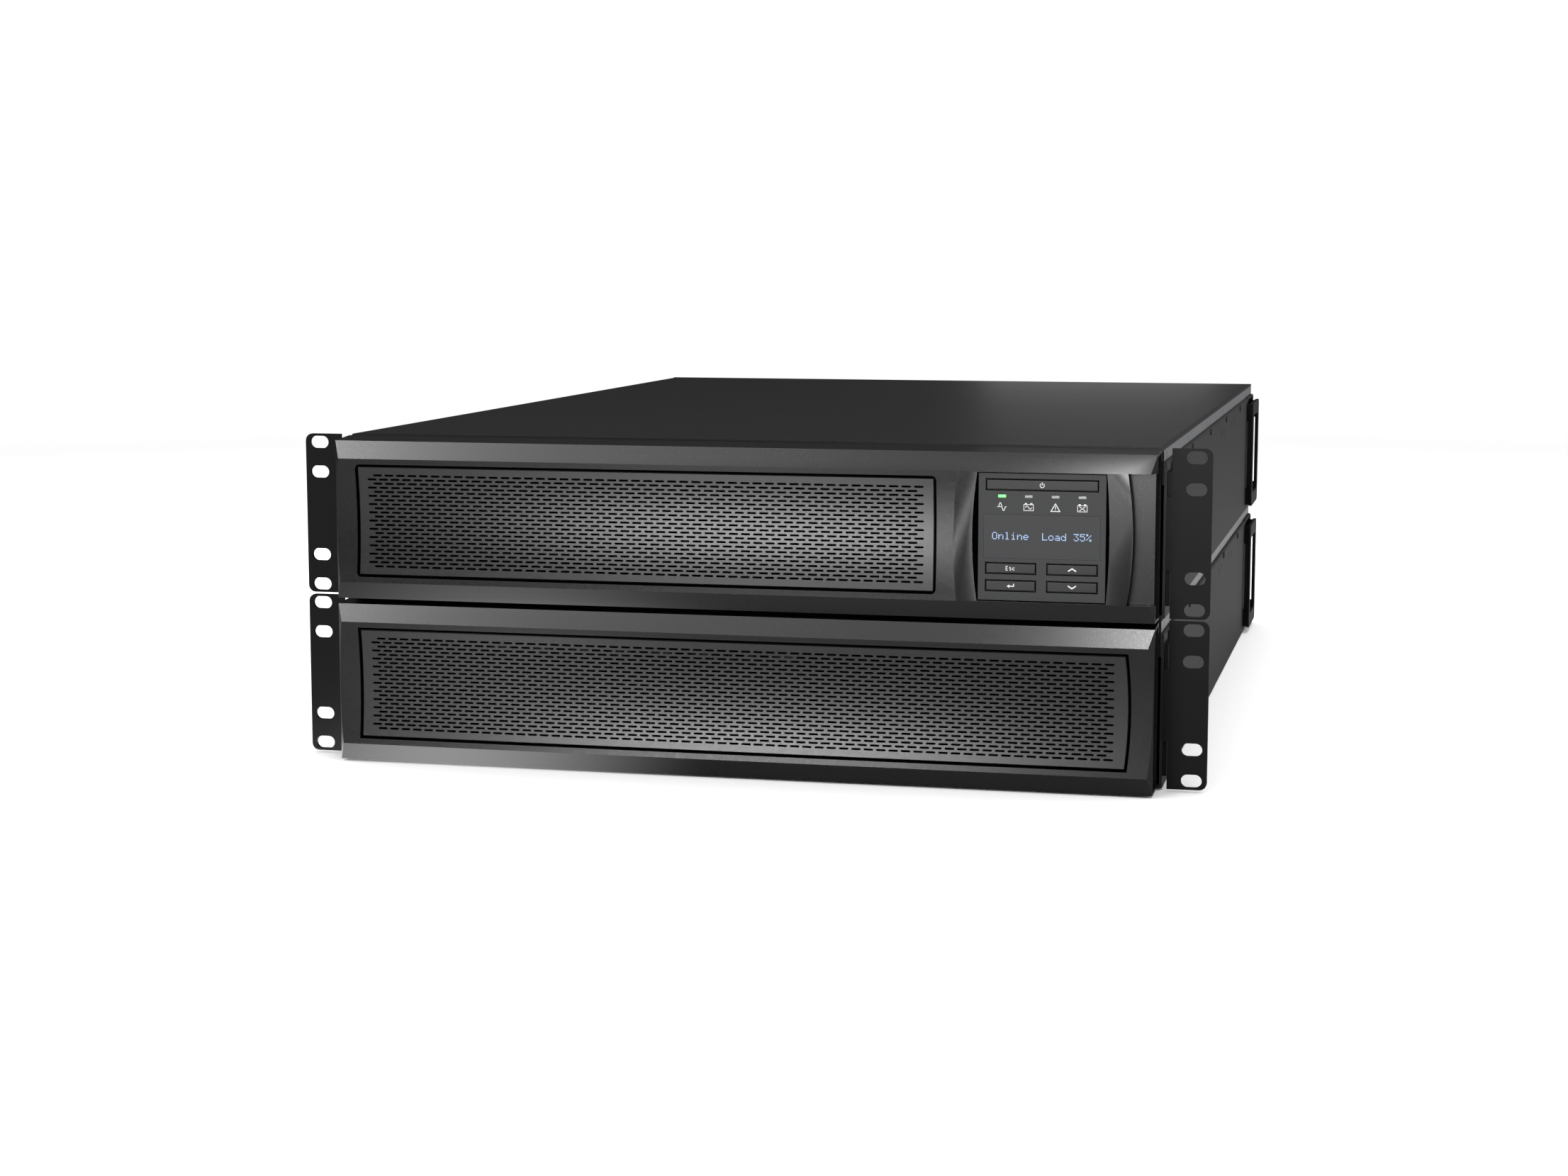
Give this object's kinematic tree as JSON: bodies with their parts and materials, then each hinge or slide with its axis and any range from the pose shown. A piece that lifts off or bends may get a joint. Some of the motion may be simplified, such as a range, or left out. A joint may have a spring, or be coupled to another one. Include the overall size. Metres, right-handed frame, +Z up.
{
  "type": "rack-mount uninterruptible power supply",
  "caption": "Black rack-mount uninterruptible power supply with display and keys, standing on a matching battery unit, with slotted grilles, rack ears and rear handles.",
  "frame": {"origin": "centre of the bounding box's footprint, on the plane that the lower unit's pads stand on", "axes": "+X to the right seen from the front, +Y into the rack (the front faces -Y), +Z up"},
  "size_m": [0.4806, 0.662, 0.1726],
  "materials": {
    "bezel_plastic": "satin textured moulding",
    "grille_plastic": "satin moulding",
    "display_plastic": "fine matt moulding",
    "display_lens": "smoked window",
    "screen": "dark liquid crystal panel",
    "circuit_board": "green solder mask",
    "status_light": "translucent light guide",
    "key_plastic": "satin key cap",
    "black_case": "fine textured powder coat",
    "black_ear": "smooth powder coat",
    "zinc_sheet": "zinc-plated sheet",
    "battery_case": "moulded battery case",
    "core_steel": "varnished laminations",
    "coil_tape": "yellow-brown winding tape",
    "heatsink_metal": "extruded, plain",
    "capacitor_sleeve": "shrink sleeve",
    "fan_plastic": "moulded",
    "socket_plastic": "moulded",
    "reset_plastic": "moulded",
    "connector_plastic": "moulded connector",
    "port_metal": "plated shield",
    "screw_steel": "black zinc",
    "pad_rubber": "matt"
  },
  "bodies": {
    "chassis": {"ups_tray": "black_case", "ups_top_cover": "black_case", "ups_rear_panel": "black_case", "ups_front_frame": "black_case", "ups_ear_left": "black_ear", "ups_ear_right": "black_ear", "ups_handle_left": "black_ear", "ups_handle_right": "black_ear", "ups_battery_door": "black_case", "ups_battery_tray": "zinc_sheet", "ups_battery_blocks": "battery_case", "ups_battery_plug": "connector_plastic", "transformer_core": "core_steel", "transformer_coils": "coil_tape", "power_board": "circuit_board", "heatsink": "heatsink_metal", "capacitors": "capacitor_sleeve", "fan_frame_left": "fan_plastic", "fan_frame_right": "fan_plastic", "ac_inlet": "socket_plastic", "outlet_bank": "socket_plastic", "large_outlet": "socket_plastic", "breaker_body": "socket_plastic", "battery_socket": "connector_plastic", "slot_cover": "black_case", "port_block": "port_metal", "pack_tray": "black_case", "pack_top_cover": "black_case", "pack_rear_panel": "black_case", "pack_front_frame": "black_case", "pack_ear_left": "black_ear", "pack_ear_right": "black_ear", "pack_handle_left": "black_ear", "pack_handle_right": "black_ear", "pack_battery_door": "black_case", "pack_battery_tray": "zinc_sheet", "pack_battery_blocks": "battery_case", "pack_sockets": "connector_plastic", "ear_screws": "screw_steel", "cover_screws": "screw_steel", "feet": "pad_rubber"},
    "ups_bezel": {"ups_bezel": "bezel_plastic", "ups_grille": "grille_plastic"},
    "pack_bezel": {"pack_bezel": "bezel_plastic", "pack_grille": "grille_plastic"},
    "display": {"display_housing": "display_plastic", "display_fascia": "display_plastic", "display_lens": "display_lens", "display_screen": "screen", "display_board": "circuit_board", "status_lights": "status_light"},
    "power_button": {"power_button": "key_plastic"},
    "escape_button": {"escape_button": "key_plastic"},
    "enter_button": {"enter_button": "key_plastic"},
    "up_button": {"up_button": "key_plastic"},
    "down_button": {"down_button": "key_plastic"},
    "fan_left": {"fan_rotor_left": "fan_plastic"},
    "fan_right": {"fan_rotor_right": "fan_plastic"},
    "breaker_button": {"breaker_button": "reset_plastic"}
  },
  "joints": [
    {"name": "ups_bezel_pull", "type": "slide", "parent": "chassis", "child": "ups_bezel", "axis": [0, -1, 0], "range_m": [0, 0.06]},
    {"name": "pack_bezel_pull", "type": "slide", "parent": "chassis", "child": "pack_bezel", "axis": [0, -1, 0], "range_m": [0, 0.06]},
    {"name": "display_pull", "type": "slide", "parent": "chassis", "child": "display", "axis": [0, -1, 0], "range_m": [0, 0.03]},
    {"name": "power_press", "type": "slide", "parent": "display", "child": "power_button", "axis": [0, 1, 0], "range_m": [0, 0.0008], "stiffness_N_per_m": 800, "springref_m": -0.0008},
    {"name": "escape_press", "type": "slide", "parent": "display", "child": "escape_button", "axis": [0, 1, 0], "range_m": [0, 0.0008], "stiffness_N_per_m": 800, "springref_m": -0.0008},
    {"name": "enter_press", "type": "slide", "parent": "display", "child": "enter_button", "axis": [0, 1, 0], "range_m": [0, 0.0008], "stiffness_N_per_m": 800, "springref_m": -0.0008},
    {"name": "up_press", "type": "slide", "parent": "display", "child": "up_button", "axis": [0, 1, 0], "range_m": [0, 0.0008], "stiffness_N_per_m": 800, "springref_m": -0.0008},
    {"name": "down_press", "type": "slide", "parent": "display", "child": "down_button", "axis": [0, 1, 0], "range_m": [0, 0.0008], "stiffness_N_per_m": 800, "springref_m": -0.0008},
    {"name": "fan_left_spin", "type": "hinge", "parent": "chassis", "child": "fan_left", "pos_m": [-0.152, 0.314, 0.1298], "axis": [0, 1, 0], "continuous": true},
    {"name": "fan_right_spin", "type": "hinge", "parent": "chassis", "child": "fan_right", "pos_m": [-0.078, 0.314, 0.1298], "axis": [0, 1, 0], "continuous": true},
    {"name": "breaker_reset", "type": "slide", "parent": "chassis", "child": "breaker_button", "axis": [0, 1, 0], "range_m": [0, 0.004]}
  ]
}
